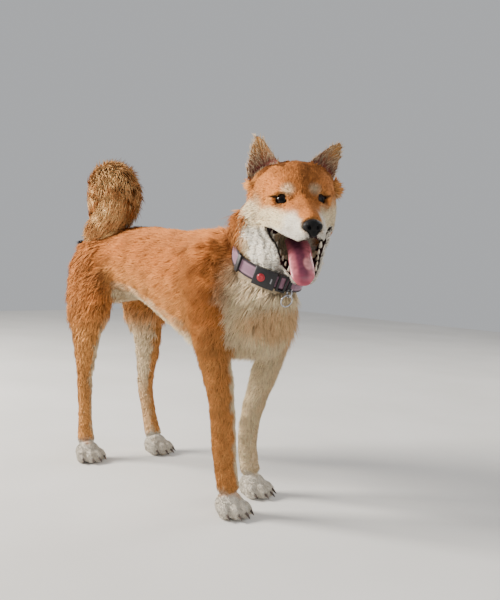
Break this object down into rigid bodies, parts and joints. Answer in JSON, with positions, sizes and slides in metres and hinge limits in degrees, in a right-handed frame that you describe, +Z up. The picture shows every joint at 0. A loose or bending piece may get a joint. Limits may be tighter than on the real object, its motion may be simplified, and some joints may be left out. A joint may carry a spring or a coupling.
{
  "type": "shiba inu",
  "caption": "Life-size still model of a shiba inu standing with its head turned, mouth open, tail curled over the back and a webbing collar on",
  "frame": {"origin": "middle of the bounding box's bottom face, on the floor under the paws", "axes": "+X forward along the body, +Y to the dog's left, +Z up"},
  "size_m": [0.5536, 0.182, 0.4979],
  "materials": {
    "coat": "short dense double coat, red with cream markings",
    "paw_coat": "short white fur with dark claws",
    "eye": "wet dark brown eye",
    "nose": "moist black nose leather",
    "tongue": "wet pink tongue",
    "strap": "woven pink webbing with black edges",
    "buckle": "black moulded plastic",
    "button": "red moulded plastic",
    "metal": "polished steel wire"
  },
  "bodies": {
    "root": {"head": "coat", "jaw": "coat", "tongue": "tongue", "nose": "nose", "eye_right": "eye", "eye_left": "eye", "ear_right": "coat", "ear_left": "coat", "leg_front_right": "coat", "paw_front_right": "paw_coat", "leg_front_left": "coat", "paw_front_left": "paw_coat", "leg_hind_right": "coat", "paw_hind_right": "paw_coat", "leg_hind_left": "coat", "paw_hind_left": "paw_coat", "torso": "coat", "neck": "coat", "tail_base": "coat", "tail_curl": "coat", "tail_front": "coat", "tail_tip": "coat", "collar_strap": "strap", "collar_slide": "buckle", "collar_buckle": "buckle", "collar_button": "button", "collar_frame": "buckle", "collar_keeper": "buckle", "collar_loop": "metal", "collar_ring": "metal"}
  },
  "joints": []
}
